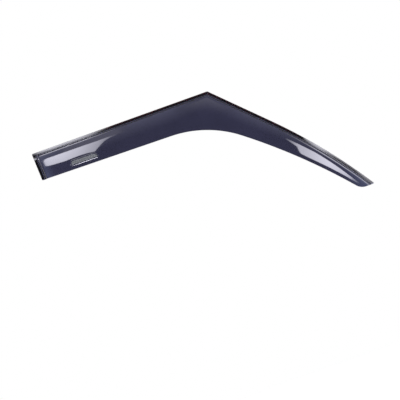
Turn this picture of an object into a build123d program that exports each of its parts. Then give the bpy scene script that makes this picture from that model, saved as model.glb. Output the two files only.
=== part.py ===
from build123d import *

import os
from math import acos, cos, degrees, radians, sin, sqrt, tan

# Window rain deflector for a right-hand front door, built the way it is moulded: a thin flange that is
# taped to the door frame, a short drafted wall, a rounded ridge, and a convex body whose free lower edge
# stands clear of the glass. The plan is drawn with x forwards along the roof edge and y up the door, from
# the peak where the roof edge turns down the windscreen pillar. z is the stand-off from the flange's back.
# At the end every piece is stood up on the door: X forwards, Z up, and the outside facing -Y.
# Lengths are millimetres and angles degrees.

# Outline, seen square on to the door
ROOF_LENGTH = 455.0
REAR_WIDTH = 69.5
REAR_LEAN = 2.5
PILLAR_ANGLE = 44.6
PILLAR_STRAIGHT = 170.0
PILLAR_BEND_RADIUS = 1390.0
TIP_DROP = 349.0
LOWER_DROOP = 0.8
ARCH_RADIUS = 273.0
PILLAR_WIDTH = 62.7
PILLAR_NARROWING = 7.0
TAPER_RADIUS = 1525.0
PEAK_RADIUS = 5.0
REAR_CORNER_RADIUS = 2.5
TIP_CORNER_RADIUS = 2.0
TIP_ROUND_RADIUS = 30.0

# Bonding tape on the back of the flange, with its release film
TAPE_WIDTH = 6.0
TAPE_THICKNESS = 1.1
TAPE_WALL_GAP = 0.8
TAPE_END_GAP = 3.0
CORNER_TAPE_LENGTH = 5.5
REAR_TAPE_GAP = 3.0
LINER_THICKNESS = 0.12
LINER_MARGIN = 0.35
LINER_EDGE_GAP = 0.35
LINER_JOINT_GAP = 0.3

# Moulding: walls, stand-off of the body and the radii of its bends
FLANGE_THICKNESS = 1.6
BODY_THICKNESS = 2.6
WALL_DRAFT = 7.0
WALL_INNER_RADIUS = 5.4
RIDGE_HEIGHT = 9.0
RIDGE_HEIGHT_AT_TIP = 7.5
RIDGE_INNER_RADIUS = 1.6
STANDOFF = 23.0
STANDOFF_AT_TIP = 12.0
ROOT_RADIUS = 1.6
BACK_RADIUS = 2.0
EDGE_RADIUS = 0.4

# Share of the body's fall that is an even slope, the rest being curve, and how sharply it turns the peak
EVEN_SLOPE_SHARE = 0.25
PEAK_SHARPNESS = 12.0

# Name plate, left plain, in a shallow recess near the rear lower corner
BADGE_LENGTH = 68.0
BADGE_HEIGHT = 9.0
BADGE_THICKNESS = 1.2
BADGE_NOSE_RADIUS = 12.0
BADGE_RAKE = 25.0
BADGE_CORNER_RADIUS = 1.2
BADGE_BEVEL = 0.5
BADGE_FROM_REAR = 80.0
BADGE_ABOVE_EDGE = 12.0
RECESS_MARGIN = 3.0
RECESS_DEPTH = 0.5

# Construction only: how far cutting bodies run past what they cut, the spacing of the body's sections,
# and how near two places are to count as one
CLEAR = 3.0
OVERHANG = 12.0
LONG_OVERHANG = 40.0
SECTION_SPACING = 28.0
SAME_PLACE = 0.001

# Sizes that follow from those above
TAPE_EDGE_GAP = LINER_EDGE_GAP + LINER_MARGIN
TAPE_JOINT_GAP = LINER_JOINT_GAP + 2 * LINER_MARGIN
FLANGE_WIDTH = TAPE_EDGE_GAP + TAPE_WIDTH + TAPE_WALL_GAP
BOND_DEPTH = TAPE_THICKNESS + LINER_THICKNESS


def heading(angle):
    """Unit vector forwards, angle degrees below the roof edge."""
    return Vector(cos(radians(angle)), -sin(radians(angle)))


def uphill(angle):
    """Unit vector square to that heading, on its upper side."""
    return Vector(sin(radians(angle)), cos(radians(angle)))


def on_arc(centre, radius, angle):
    """Point of an arc where it heads angle degrees below the roof edge."""
    return centre + uphill(angle) * radius


def angle_at_level(centre, radius, level):
    """Heading of an arc where it comes down to a level."""
    return degrees(acos((level - centre.Y) / radius))


# Corners and arc centres of the outline
PEAK = Vector(0, 0)
REAR_TOP = Vector(-ROOF_LENGTH, 0)
REAR_DOWN = heading(90 - REAR_LEAN)
REAR_FORWARD = uphill(90 - REAR_LEAN)
REAR_LOW = REAR_TOP + REAR_DOWN * REAR_WIDTH
ARCH_END_ANGLE = PILLAR_ANGLE - PILLAR_NARROWING
ARCH_CHORD = (uphill(ARCH_END_ANGLE) - uphill(LOWER_DROOP)) * ARCH_RADIUS
TO_PILLAR = -(REAR_LOW + ARCH_CHORD).dot(uphill(PILLAR_ANGLE))
LOWER_STRAIGHT = (TO_PILLAR - PILLAR_WIDTH) / sin(radians(PILLAR_ANGLE - LOWER_DROOP))
ARCH_FOOT = REAR_LOW + heading(LOWER_DROOP) * LOWER_STRAIGHT
ARCH_CENTRE = ARCH_FOOT - uphill(LOWER_DROOP) * ARCH_RADIUS
ARCH_RUN = radians(ARCH_END_ANGLE - LOWER_DROOP) * ARCH_RADIUS
TAPER_CENTRE = ARCH_CENTRE + uphill(ARCH_END_ANGLE) * (ARCH_RADIUS - TAPER_RADIUS)
TAPER_END_ANGLE = angle_at_level(TAPER_CENTRE, TAPER_RADIUS, -TIP_DROP)
TAPER_RUN = radians(TAPER_END_ANGLE - ARCH_END_ANGLE) * TAPER_RADIUS
BEND_START = heading(PILLAR_ANGLE) * PILLAR_STRAIGHT
BEND_CENTRE = BEND_START - uphill(PILLAR_ANGLE) * PILLAR_BEND_RADIUS
BEND_END_ANGLE = angle_at_level(BEND_CENTRE, PILLAR_BEND_RADIUS, -TIP_DROP)


def arc_between(centre, radius, first, last):
    """Arc from one heading to another."""
    middle = on_arc(centre, radius, (first + last) / 2)
    return ThreePointArc(on_arc(centre, radius, first), middle, on_arc(centre, radius, last))


def at_rear(inset, level):
    """Point on the rear edge moved in by inset, a level below the roof edge."""
    lean = radians(REAR_LEAN)
    return REAR_TOP + REAR_FORWARD * inset + REAR_DOWN * ((level + inset * sin(lean)) / cos(lean))


def at_peak(inset):
    """Corner of the roof and pillar edges, both moved in by inset."""
    return Vector(-inset * tan(radians(PILLAR_ANGLE / 2)), -inset)


def lower_edge(run):
    """Point and heading of the lower edge, by distance forwards from where its arch begins."""
    if run < 0:
        return ARCH_FOOT + heading(LOWER_DROOP) * run, LOWER_DROOP
    if run < ARCH_RUN:
        angle = LOWER_DROOP + degrees(run / ARCH_RADIUS)
        return on_arc(ARCH_CENTRE, ARCH_RADIUS, angle), angle
    angle = ARCH_END_ANGLE + degrees((run - ARCH_RUN) / TAPER_RADIUS)
    return on_arc(TAPER_CENTRE, TAPER_RADIUS, angle), angle


def rounded(face, corners):
    """A face with some of its corners rounded, given as (point, radius)."""
    for point, radius in corners:
        face = fillet(face.vertices().sort_by_distance(point)[0], radius)
    return face


def outline_face():
    """Outer outline of the whole moulding, with its corners rounded."""
    tip = on_arc(BEND_CENTRE, PILLAR_BEND_RADIUS, BEND_END_ANGLE)
    tip_low = on_arc(TAPER_CENTRE, TAPER_RADIUS, TAPER_END_ANGLE)
    edges = [
        Line(PEAK, REAR_TOP),
        Line(REAR_TOP, REAR_LOW),
        Line(REAR_LOW, ARCH_FOOT),
        arc_between(ARCH_CENTRE, ARCH_RADIUS, LOWER_DROOP, ARCH_END_ANGLE),
        arc_between(TAPER_CENTRE, TAPER_RADIUS, ARCH_END_ANGLE, TAPER_END_ANGLE),
        Line(tip_low, tip),
        arc_between(BEND_CENTRE, PILLAR_BEND_RADIUS, BEND_END_ANGLE, PILLAR_ANGLE),
        Line(BEND_START, PEAK),
    ]
    corners = [
        (PEAK, PEAK_RADIUS),
        (REAR_TOP, REAR_CORNER_RADIUS),
        (REAR_LOW, REAR_CORNER_RADIUS),
        (tip, TIP_CORNER_RADIUS),
        (tip_low, TIP_ROUND_RADIUS),
    ]
    return rounded(make_face(edges), corners)


def wall_face(inset, corner_radius):
    """The foot of the wall: the top and rear edges moved in, closed well below the lower edge."""
    rear_corner = at_rear(inset, inset)
    rear_foot = at_rear(inset, REAR_WIDTH + LONG_OVERHANG)
    peak = at_peak(inset)
    radius = PILLAR_BEND_RADIUS - inset
    last = BEND_END_ANGLE + degrees(LONG_OVERHANG / radius)
    bend = arc_between(BEND_CENTRE, radius, last, PILLAR_ANGLE)
    edges = [
        Line(peak, rear_corner),
        Line(rear_corner, rear_foot),
        Line(rear_foot, bend @ 0),
        bend,
        Line(bend @ 1, peak),
    ]
    return rounded(make_face(edges), [(rear_corner, corner_radius), (peak, corner_radius)])


def section_reach(run):
    """Width of the moulding square to its lower edge, eased over the peak."""
    foot, angle = lower_edge(run)
    across = uphill(angle)
    to_roof = -foot.Y / across.Y
    pillar_side = uphill(PILLAR_ANGLE)
    to_pillar = -foot.dot(pillar_side) / across.dot(pillar_side)
    if (foot + across * to_pillar).dot(heading(PILLAR_ANGLE)) > PILLAR_STRAIGHT:
        from_centre = foot - BEND_CENTRE
        along = from_centre.dot(across)
        to_pillar = sqrt(along**2 - from_centre.dot(from_centre) + PILLAR_BEND_RADIUS**2) - along
    return (to_roof**-PEAK_SHARPNESS + to_pillar**-PEAK_SHARPNESS) ** (-1 / PEAK_SHARPNESS)


def eased(run, at_roof, at_tip):
    """A height that holds along the roof and eases to its tip value down the pillar."""
    share = min(max(run / (ARCH_RUN + TAPER_RUN), 0), 1)
    return at_roof + (at_tip - at_roof) * share**2 * (3 - 2 * share)


def skin_height(run, width, depth):
    """Height of the skin, sunk by depth, at a distance up from the lower edge: a parabola in each section."""
    edge = eased(run, STANDOFF, STANDOFF_AT_TIP)
    fall = edge - eased(run, RIDGE_HEIGHT, RIDGE_HEIGHT_AT_TIP)
    span = section_reach(run) - FLANGE_WIDTH
    share = width / span
    curve = 1 - EVEN_SLOPE_SHARE
    slope = fall * (EVEN_SLOPE_SHARE + 2 * curve * share) / span
    height = edge - fall * (EVEN_SLOPE_SHARE * share + curve * share**2)
    return height - depth * sqrt(1 + slope**2)


def skin_section(run, depth):
    """Closed section square to the lower edge, from behind the flange out to the skin."""
    foot, angle = lower_edge(run)
    widths = [-OVERHANG, section_reach(run) + OVERHANG]
    middle = sum(widths) / 2
    low, high = (skin_height(run, width, depth) for width in widths)
    control = 2 * skin_height(run, middle, depth) - (low + high) / 2

    def place(width, height):
        return foot + uphill(angle) * width + Vector(0, 0, height)

    skin = Bezier(place(widths[0], low), place(middle, control), place(widths[1], high))
    back = Polyline(skin @ 1, place(widths[1], -OVERHANG), place(widths[0], -OVERHANG), skin @ 0)
    return Wire([skin, *back.edges()])


def under_skin(depth):
    """Everything under the body's skin, sunk by depth, as one loft through sections along the lower edge."""
    first = -LOWER_STRAIGHT - OVERHANG
    last = ARCH_RUN + TAPER_RUN + LONG_OVERHANG
    count = round((last - first) / SECTION_SPACING)
    runs = [first + (last - first) * index / count for index in range(count + 1)]
    return Solid.make_loft([skin_section(run, depth) for run in runs])


def flat(point):
    return Vector(point.X, point.Y)


def bulge(depth):
    """The raised body, or the hollow in it: a drafted block cut to the skin, with its ridge rounded."""
    inset = FLANGE_WIDTH + depth
    spare = BODY_THICKNESS - depth
    block = extrude(wall_face(inset, WALL_INNER_RADIUS + spare), STANDOFF + CLEAR, taper=WALL_DRAFT)
    body = block & under_skin(depth)
    outline = outline_face()
    skin = body.faces().sort_by(Axis.Z)[-1]
    ridge = [edge for edge in skin.edges() if outline.is_inside(flat(edge @ 0.5))]
    return fillet(ridge, RIDGE_INNER_RADIUS + spare)


def foot_edges(solid, outline, height):
    """Edges at the foot of the wall: level at a height and well inside the outline."""
    border = outline.wire()
    level = solid.edges().filter_by_position(Axis.Z, height - SAME_PLACE, height + SAME_PLACE)
    middles = [(edge, flat(edge @ 0.5)) for edge in level]
    inside = [(edge, middle) for edge, middle in middles if outline.is_inside(middle)]
    return [edge for edge, middle in inside if border.distance_to(middle) > FLANGE_WIDTH / 2]


def rim_edges(solid, outline):
    """Front edges along the outline, without the upright ones at its corners."""
    border = outline.wire()
    raised = solid.edges().filter_by(lambda edge: (edge @ 0.5).Z > SAME_PLACE)
    around = [edge for edge in raised if border.distance_to(flat(edge @ 0.5)) < SAME_PLACE]
    return [edge for edge in around if (flat(edge @ 0) - flat(edge @ 1)).length > SAME_PLACE]


def mould_front(outline):
    """What the outer mould half gives: flange plate and raised body, with the front edges rounded."""
    column = extrude(outline, STANDOFF + OVERHANG)
    front = extrude(outline, FLANGE_THICKNESS) + (bulge(0) & column)
    front = fillet(foot_edges(front, outline, FLANGE_THICKNESS), ROOT_RADIUS)
    return fillet(rim_edges(front, outline), EDGE_RADIUS)


def mould_core(outline):
    """The inner mould half: a plate with the hollow of the body raised on it, its foot flared."""
    box = outline.bounding_box()
    spare = 4 * LONG_OVERHANG
    plate = Pos(box.center()) * Rectangle(box.size.X + spare, box.size.Y + spare)
    core = extrude(plate, OVERHANG, dir=(0, 0, -1)) + bulge(BODY_THICKNESS)
    return fillet(foot_edges(core, outline, 0), BACK_RADIUS)


def visor_shell():
    """The moulding, with a shallow recess for its name plate."""
    outline = outline_face()
    shell = mould_front(outline) - mould_core(outline)
    return shell - above_recess(offset(badge_face(), RECESS_MARGIN))


def badge_face():
    """Outline of the name plate: straight foot, raked rear end and a round nose that falls to the foot."""
    foot, angle = lower_edge(BADGE_FROM_REAR - LOWER_STRAIGHT)
    along = heading(angle)
    up = uphill(angle)
    rear = foot + up * BADGE_ABOVE_EDGE
    rear_top = rear + along * (BADGE_HEIGHT * tan(radians(BADGE_RAKE))) + up * BADGE_HEIGHT
    front = rear + along * BADGE_LENGTH
    nose_run = sqrt(BADGE_NOSE_RADIUS**2 - (BADGE_NOSE_RADIUS - BADGE_HEIGHT) ** 2)
    nose_top = front - along * nose_run + up * BADGE_HEIGHT
    nose = RadiusArc(front, nose_top, -BADGE_NOSE_RADIUS)
    face = make_face([Line(rear, front), nose, Line(nose_top, rear_top), Line(rear_top, rear)])
    return rounded(face, [(corner, BADGE_CORNER_RADIUS) for corner in (rear, rear_top, front)])


def above_recess(face):
    """Upright column on a face, from the floor of the name plate's recess outwards."""
    return extrude(face, STANDOFF + OVERHANG) - under_skin(RECESS_DEPTH)


def badge_plate():
    """Thin plate bent to the body, seated on the floor of its recess, with its front edge bevelled."""
    plate = above_recess(badge_face()) & under_skin(RECESS_DEPTH - BADGE_THICKNESS)
    front = plate.faces().sort_by(Axis.Z)[-1]
    return chamfer(front.edges(), BADGE_BEVEL)


def polygon(*points):
    return make_face(Polyline(*points, close=True))


def rear_strip(near, far, top, bottom):
    """Strip down the rear end, between two levels."""
    return polygon(at_rear(near, top), at_rear(near, bottom), at_rear(far, bottom), at_rear(far, top))


def roof_strip(near, far, mitre):
    """Strip along the roof edge, mitred at the peak."""
    back = Vector(-mitre, 0)
    return polygon(at_peak(near) + back, at_rear(near, near), at_rear(near, far), at_peak(far) + back)


def pillar_strip(near, far, mitre, end_gap):
    """Strip down the pillar edge: straight, then round the bend, and cut level short of the tip."""
    forward = heading(PILLAR_ANGLE) * mitre
    arcs = []
    for inset in (near, far):
        radius = PILLAR_BEND_RADIUS - inset
        last = angle_at_level(BEND_CENTRE, radius, end_gap - TIP_DROP)
        arcs.append(arc_between(BEND_CENTRE, radius, PILLAR_ANGLE, last))
    near_arc, far_arc = arcs
    edges = [
        Line(at_peak(near) + forward, near_arc @ 0),
        near_arc,
        Line(near_arc @ 1, far_arc @ 1),
        far_arc,
        Line(far_arc @ 0, at_peak(far) + forward),
        Line(at_peak(far) + forward, at_peak(near) + forward),
    ]
    return make_face(edges)


def strip_faces(margin):
    """Plan of each strip of tape, widened all round by a margin."""
    near = TAPE_EDGE_GAP - margin
    far = TAPE_EDGE_GAP + TAPE_WIDTH + margin
    mitre = (TAPE_JOINT_GAP / 2 - margin) / cos(radians(PILLAR_ANGLE / 2))
    corner_top = TAPE_EDGE_GAP + TAPE_WIDTH + TAPE_JOINT_GAP
    corner_bottom = corner_top + CORNER_TAPE_LENGTH
    rear_top = corner_bottom + REAR_TAPE_GAP
    rear_bottom = REAR_WIDTH - TAPE_END_GAP
    return {
        "roof": roof_strip(near, far, mitre),
        "pillar": pillar_strip(near, far, mitre, TAPE_END_GAP - margin),
        "corner": rear_strip(near, far, corner_top - margin, corner_bottom + margin),
        "rear": rear_strip(near, far, rear_top - margin, rear_bottom + margin),
    }


def tape_and_liners():
    """Each strip of tape on the flange's back, and the release film on it."""
    behind = (0, 0, -1)
    pieces = {}
    for name, face in strip_faces(0).items():
        pieces[name + "_tape"] = extrude(face, TAPE_THICKNESS, dir=behind)
    for name, face in strip_faces(LINER_MARGIN).items():
        pieces[name + "_liner"] = Pos(0, 0, -TAPE_THICKNESS) * extrude(face, LINER_THICKNESS, dir=behind)
    return pieces


def main():
    """Stand every piece up, with the middle of the roof strip's bonding face at the origin."""
    os.makedirs("parts", exist_ok=True)
    middle = strip_faces(LINER_MARGIN)["roof"].center()
    stand_up = Rot(90, 0, 0) * Pos(-middle.X, -middle.Y, BOND_DEPTH)
    pieces = {"visor_shell": visor_shell(), "badge_plate": badge_plate(), **tape_and_liners()}
    for name, piece in pieces.items():
        export_step(stand_up * piece, f"parts/{name}.step")


if __name__ == "__main__":
    main()
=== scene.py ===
# %% [markdown]
# # A smoked rain deflector for a car's front window
#
# The real part is one thin moulding of dark acrylic. A flat flange is taped to the door frame, a short wall
# lifts the body off the glass, and the body turns the corner from the roof edge down the windscreen pillar.
# The solids come packed from CAD and are the fixed frame of this scene. They could be shown as they are, but
# their triangles are few and long, and a gloss surface shows every one of them. So the moulding is worked
# out again as a fine surface from the same sizes, while the plate, the tape and its film keep their solids
# and get finishes.

import bmesh
import bpy
import numpy as np
from mathutils import Matrix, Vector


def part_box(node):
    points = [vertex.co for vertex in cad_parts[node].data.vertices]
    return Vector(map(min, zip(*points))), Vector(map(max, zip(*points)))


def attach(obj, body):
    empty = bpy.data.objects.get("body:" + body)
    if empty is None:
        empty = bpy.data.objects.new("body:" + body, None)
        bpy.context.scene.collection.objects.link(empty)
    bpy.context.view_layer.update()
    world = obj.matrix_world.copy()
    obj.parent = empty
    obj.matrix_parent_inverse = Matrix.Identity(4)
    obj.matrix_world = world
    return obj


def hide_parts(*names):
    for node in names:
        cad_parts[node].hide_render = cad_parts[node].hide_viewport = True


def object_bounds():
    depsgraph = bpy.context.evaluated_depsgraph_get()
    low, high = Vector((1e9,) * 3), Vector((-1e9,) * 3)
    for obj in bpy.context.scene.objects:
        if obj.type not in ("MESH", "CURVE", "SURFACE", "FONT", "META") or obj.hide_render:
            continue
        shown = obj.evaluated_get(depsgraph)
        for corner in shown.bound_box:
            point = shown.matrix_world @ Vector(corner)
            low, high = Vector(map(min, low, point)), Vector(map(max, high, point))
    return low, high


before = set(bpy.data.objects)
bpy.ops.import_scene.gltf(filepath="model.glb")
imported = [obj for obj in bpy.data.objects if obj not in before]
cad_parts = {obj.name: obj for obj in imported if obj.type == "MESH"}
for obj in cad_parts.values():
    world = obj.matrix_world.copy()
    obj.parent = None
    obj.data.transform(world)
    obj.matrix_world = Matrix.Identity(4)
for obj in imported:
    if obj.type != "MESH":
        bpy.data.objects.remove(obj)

cad_box = [list(corner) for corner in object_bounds()]
print("solids in the frame:", ", ".join(sorted(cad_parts)))

# %% [markdown]
# ## Where the part lies
#
# The drawing of the part is easiest on the plane of the door: x forwards along the roof edge, y up, both in
# millimetres from the peak where the roof edge meets the pillar edge, and a height that says how far a point
# stands off the back of the flange. One function stands such points up in the frame. It could hold fixed
# offsets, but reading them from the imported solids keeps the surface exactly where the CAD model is.

# %% From the drawing to the frame
MM = 0.001
PILLAR_ANGLE = 44.6
LINER_EDGE_GAP = 0.35
LINER_JOINT_GAP = 0.3

shell_high = np.array(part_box("visor_shell")[1]) / MM
liner_high = np.array(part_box("roof_liner")[1]) / MM
half_peak = np.radians(PILLAR_ANGLE / 2)
PEAK_X = liner_high[0] + LINER_EDGE_GAP * np.tan(half_peak) + LINER_JOINT_GAP / 2 / np.cos(half_peak)
PEAK_Z = shell_high[2]
BOND_DEPTH = -shell_high[1]


def stand_up(plan, height):
    """Points of the drawing in the frame, in metres. The height comes out of the door towards -Y."""
    return np.stack([plan[..., 0] + PEAK_X, -(height + BOND_DEPTH), plan[..., 1] + PEAK_Z], -1) * MM


print("peak at", stand_up(np.zeros(2), 0.0).round(5), "bonding depth", round(float(BOND_DEPTH), 3), "mm")

# %% [markdown]
# ## The outline
#
# Seen square on, the top edge is a straight roof line that turns at the peak into the pillar line, which
# bends gently further down. The lower edge is straight, swings round an arch under the peak and then follows
# a flatter arc to the tip. It could be traced point by point, but a few lines and arcs that touch are how a
# toolmaker draws it, and they stay smooth at any zoom.

# %% Sizes and corners of the outline
ROOF_LENGTH = 455.0
REAR_WIDTH = 69.5
REAR_LEAN = 2.5
PILLAR_STRAIGHT = 170.0
PILLAR_BEND_RADIUS = 1390.0
TIP_DROP = 349.0
LOWER_DROOP = 0.8
ARCH_RADIUS = 273.0
PILLAR_WIDTH = 62.7
PILLAR_NARROWING = 7.0
TAPER_RADIUS = 1525.0
TIP_ROUND_RADIUS = 30.0


def heading(angle):
    """Unit vector forwards, some degrees below the roof edge."""
    turned = np.radians(angle)
    return np.stack([np.cos(turned), -np.sin(turned)], -1)


def uphill(angle):
    """Unit vector square to that heading, on its upper side."""
    turned = np.radians(angle)
    return np.stack([np.sin(turned), np.cos(turned)], -1)


def dot(first, second):
    """Sum of the products of two vectors' parts."""
    return (first * second).sum(-1)


def angle_at_level(centre, radius, level):
    """Heading of an arc where it comes down to a level."""
    return np.degrees(np.arccos((level - centre[1]) / radius))


REAR_DOWN = heading(90 - REAR_LEAN)
REAR_FORWARD = uphill(90 - REAR_LEAN)
REAR_TOP = np.array([-ROOF_LENGTH, 0.0])
REAR_LOW = REAR_TOP + REAR_DOWN * REAR_WIDTH
ARCH_END_ANGLE = PILLAR_ANGLE - PILLAR_NARROWING
ARCH_CHORD = (uphill(ARCH_END_ANGLE) - uphill(LOWER_DROOP)) * ARCH_RADIUS
TO_PILLAR = -dot(REAR_LOW + ARCH_CHORD, uphill(PILLAR_ANGLE))
LOWER_STRAIGHT = (TO_PILLAR - PILLAR_WIDTH) / np.sin(np.radians(PILLAR_ANGLE - LOWER_DROOP))
ARCH_FOOT = REAR_LOW + heading(LOWER_DROOP) * LOWER_STRAIGHT
ARCH_CENTRE = ARCH_FOOT - uphill(LOWER_DROOP) * ARCH_RADIUS
ARCH_RUN = np.radians(ARCH_END_ANGLE - LOWER_DROOP) * ARCH_RADIUS
TAPER_CENTRE = ARCH_CENTRE + uphill(ARCH_END_ANGLE) * (ARCH_RADIUS - TAPER_RADIUS)
TAPER_END_ANGLE = angle_at_level(TAPER_CENTRE, TAPER_RADIUS, -TIP_DROP)
TAPER_RUN = np.radians(TAPER_END_ANGLE - ARCH_END_ANGLE) * TAPER_RADIUS
BEND_CENTRE = heading(PILLAR_ANGLE) * PILLAR_STRAIGHT - uphill(PILLAR_ANGLE) * PILLAR_BEND_RADIUS
print("rear foot at", REAR_LOW.round(1), "arch's foot at", ARCH_FOOT.round(1), "mm from the peak")

# %% Edges by distance, and the way back


def pillar_edge(distance):
    """Straight down the pillar, then round the bend: points and headings by distance from the peak."""
    bent = np.clip(distance - PILLAR_STRAIGHT, 0, None)
    angle = PILLAR_ANGLE + np.degrees(bent / PILLAR_BEND_RADIUS)
    straight = heading(PILLAR_ANGLE) * np.minimum(distance, PILLAR_STRAIGHT)[..., None]
    return straight + PILLAR_BEND_RADIUS * (uphill(angle) - uphill(PILLAR_ANGLE)), angle


def lower_edge(run):
    """Straight line, arch, then taper: points and headings by distance forwards from the arch's foot."""
    arch_angle = LOWER_DROOP + np.degrees(np.clip(run, 0, ARCH_RUN) / ARCH_RADIUS)
    angle = arch_angle + np.degrees(np.clip(run - ARCH_RUN, 0, None) / TAPER_RADIUS)
    straight = ARCH_FOOT + heading(LOWER_DROOP) * np.minimum(run, 0)[..., None]
    arch = ARCH_RADIUS * (uphill(arch_angle) - uphill(LOWER_DROOP))
    taper = TAPER_RADIUS * (uphill(angle) - uphill(arch_angle))
    return straight + arch + taper, angle


def round_centre(plan, centre, radius):
    """Heading of an arc under each point, in degrees, and how far outside the arc the point lies."""
    away = plan - centre
    return np.degrees(np.arctan2(away[..., 0], away[..., 1])), np.linalg.norm(away, axis=-1) - radius


def across_arm(plan):
    """The way back: how far along the lower edge a point lies, and how far above it, square to the edge."""
    from_foot = plan - ARCH_FOOT
    arch_angle, above_arch = round_centre(plan, ARCH_CENTRE, ARCH_RADIUS)
    taper_angle, above_taper = round_centre(plan, TAPER_CENTRE, TAPER_RADIUS)
    arms = [arch_angle < LOWER_DROOP, arch_angle > ARCH_END_ANGLE]
    on_straight = dot(from_foot, heading(LOWER_DROOP))
    on_arch = np.radians(arch_angle - LOWER_DROOP) * ARCH_RADIUS
    on_taper = ARCH_RUN + np.radians(taper_angle - ARCH_END_ANGLE) * TAPER_RADIUS
    above_straight = dot(from_foot, uphill(LOWER_DROOP))
    run = np.select(arms, [on_straight, on_taper], on_arch)
    return run, np.select(arms, [above_straight, above_taper], above_arch)


print("lower edge", round(float(LOWER_STRAIGHT + ARCH_RUN + TAPER_RUN)), "mm long")

# %% [markdown]
# ## The skin of the body
#
# The body swells away from the glass: highest at its free lower edge, falling faster and faster towards the
# ridge. Each section square to the lower edge is a parabola, and its height and width change slowly along
# the part. A subdivision surface could be pushed into such a shape by eye. A formula is better here, because
# the same formula also gives the exact slope, which decides where each reflection falls.

# %% Height of the skin over the plan
FLANGE_WIDTH = 7.5
RIDGE_HEIGHT = 9.0
RIDGE_HEIGHT_AT_TIP = 7.5
STANDOFF = 23.0
STANDOFF_AT_TIP = 12.0
EVEN_SLOPE_SHARE = 0.25
PEAK_SHARPNESS = 12.0


def ease(share):
    """Runs from 0 to 1 with a soft start and end."""
    kept = np.clip(share, 0, 1)
    return kept * kept * (3 - 2 * kept)


def reach(run):
    """Width of the arm square to its lower edge: the nearer of roof and pillar edge, blended at the peak."""
    foot, angle = lower_edge(run)
    across = uphill(angle)
    to_roof = -foot[..., 1] / across[..., 1]
    to_line = -dot(foot, uphill(PILLAR_ANGLE)) / dot(across, uphill(PILLAR_ANGLE))
    from_centre = foot - BEND_CENTRE
    along = dot(from_centre, across)
    left = along**2 - dot(from_centre, from_centre) + PILLAR_BEND_RADIUS**2
    to_bend = np.sqrt(np.maximum(left, 0)) - along
    past_straight = dot(foot + across * to_line[..., None], heading(PILLAR_ANGLE)) > PILLAR_STRAIGHT
    to_pillar = np.where(past_straight, to_bend, to_line)
    return (to_roof**-PEAK_SHARPNESS + to_pillar**-PEAK_SHARPNESS) ** (-1 / PEAK_SHARPNESS)


def skin(plan, depth=0.0):
    """Height of the skin, sunk by a depth: edge height minus the fall, part even slope and part parabola."""
    run, width = across_arm(plan)
    towards_tip = ease(run / (ARCH_RUN + TAPER_RUN))
    edge = STANDOFF + (STANDOFF_AT_TIP - STANDOFF) * towards_tip
    fall = edge - RIDGE_HEIGHT - (RIDGE_HEIGHT_AT_TIP - RIDGE_HEIGHT) * towards_tip
    span = reach(run) - FLANGE_WIDTH
    share = width / span
    curved = 1 - EVEN_SLOPE_SHARE
    slope = fall * (EVEN_SLOPE_SHARE + 2 * curved * share) / span
    return edge - fall * (EVEN_SLOPE_SHARE * share + curved * share**2) - depth * np.sqrt(1 + slope**2)


print("skin at the arch's foot", skin(ARCH_FOOT).round(2), "mm off the flange's back")

# %% [markdown]
# ## Walking the edge
#
# The flange, wall and ridge run like a border from the tip up the pillar, round the peak, along the roof,
# round the rear corner and down the rear end. A curve with a bevel profile could sweep such a border, but it
# pinches at corners. Here a list of sections is laid out instead: where each starts on the edge, which way
# it points inwards, and how wide the flange is there. At the two corners the sections fan out from one
# centre.

# %% Fans for the two corners
BODY_THICKNESS = 2.6
WALL_INNER_RADIUS = 5.4
PEAK_RADIUS = 5.0
REAR_CORNER_RADIUS = 2.5

WALL_RADIUS = WALL_INNER_RADIUS + BODY_THICKNESS
FAN_GAP = FLANGE_WIDTH + WALL_RADIUS
REAR_TURN = -90 - REAR_LEAN
LEAN = np.radians(REAR_LEAN)
PEAK_CENTRE = np.array([-FAN_GAP * np.tan(half_peak), -FAN_GAP])
DOWN_TO_FAN = FAN_GAP * (1 + np.sin(LEAN)) / np.cos(LEAN)
CORNER_CENTRE = REAR_TOP + REAR_FORWARD * FAN_GAP + REAR_DOWN * DOWN_TO_FAN


def fan_span(turn, first, last, radius):
    """From a fan's centre to a rounded corner: the nearer of two straight edges, or the arc between them."""
    middle = (first + last) / 2
    half = np.radians(abs(last - first) / 2)
    nearer = np.maximum(np.cos(np.radians(turn - first)), np.cos(np.radians(turn - last)))
    to_arc_centre = (FAN_GAP - radius) / np.cos(half)
    off_middle = np.radians(turn - middle)
    arc_half = half - np.arctan(to_arc_centre * np.sin(half) / FAN_GAP)
    sideways = np.minimum(np.abs(to_arc_centre * np.sin(off_middle)), radius)
    to_arc = to_arc_centre * np.cos(off_middle) + np.sqrt(radius**2 - sideways**2)
    return np.where(np.abs(off_middle) < arc_half, to_arc, FAN_GAP / nearer)


def fan(centre, first, last, radius, count):
    """Sections that spread from one centre, between two directions."""
    turn = np.linspace(first, last, count + 2)[1:-1]
    span = fan_span(turn, first, last, radius)
    return centre + uphill(turn) * span[:, None], turn, np.zeros(count), span - WALL_RADIUS


print("fan centres", PEAK_CENTRE.round(2), CORNER_CENTRE.round(2))

# %% [markdown]
# ## The two free ends
#
# The tip is cut off level and the rear end stops at the lower edge, so neither is square to the sections.
# They could be trimmed with a Boolean, but sections that lean over until they lie along the cut leave a
# clean edge. Their spacing is fine at the cut, where a corner is rounded, and even farther on.

# %% Sections up the pillar
TIP_CORNER_RADIUS = 2.0
EDGE_RADIUS = 0.4
TIP_LEAN_RUN = 60.0
HAIR = 0.05
FINE_START = 0.3
END_RUN = 5.0
END_SECTIONS = 10
PILLAR_SECTIONS = 120


def from_end(length, count):
    """Distances from a free end: a hair first, so that its rounding stays narrow, then fine, then even."""
    even = np.linspace(END_RUN, length, count - END_SECTIONS)
    fine = np.linspace(FINE_START, END_RUN, END_SECTIONS - 1)[:-1]
    return np.concatenate([[0.0, HAIR], fine, even])


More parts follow.
